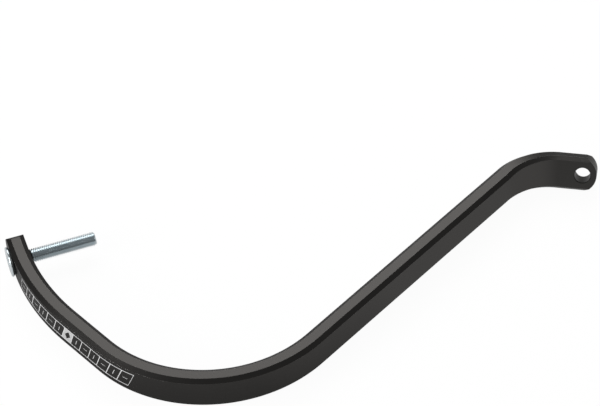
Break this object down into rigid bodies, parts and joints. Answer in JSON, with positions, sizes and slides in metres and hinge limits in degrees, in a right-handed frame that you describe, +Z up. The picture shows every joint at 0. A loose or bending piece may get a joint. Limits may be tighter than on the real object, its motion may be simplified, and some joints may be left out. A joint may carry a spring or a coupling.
{
  "type": "motorcycle hand guard",
  "caption": "Bent flat aluminium hand guard bar with a countersunk handlebar-end bolt and a twisted clamp end with a hole.",
  "frame": {"origin": "the point where the bolt's axis leaves the bar's inner face, on the face that meets the handlebar's end", "axes": "+X along the bolt's axis, into the handlebar; +Z up, across the bar's width; the bar reaches away from the handlebar towards -Y and runs back along +X to the clamp end"},
  "size_m": [0.3332, 0.1494, 0.0206],
  "materials": {
    "bar": "black anodised satin",
    "bolt": "bright zinc plated"
  },
  "bodies": {
    "root": {"bar": "bar", "bolt": "bolt"}
  },
  "joints": []
}
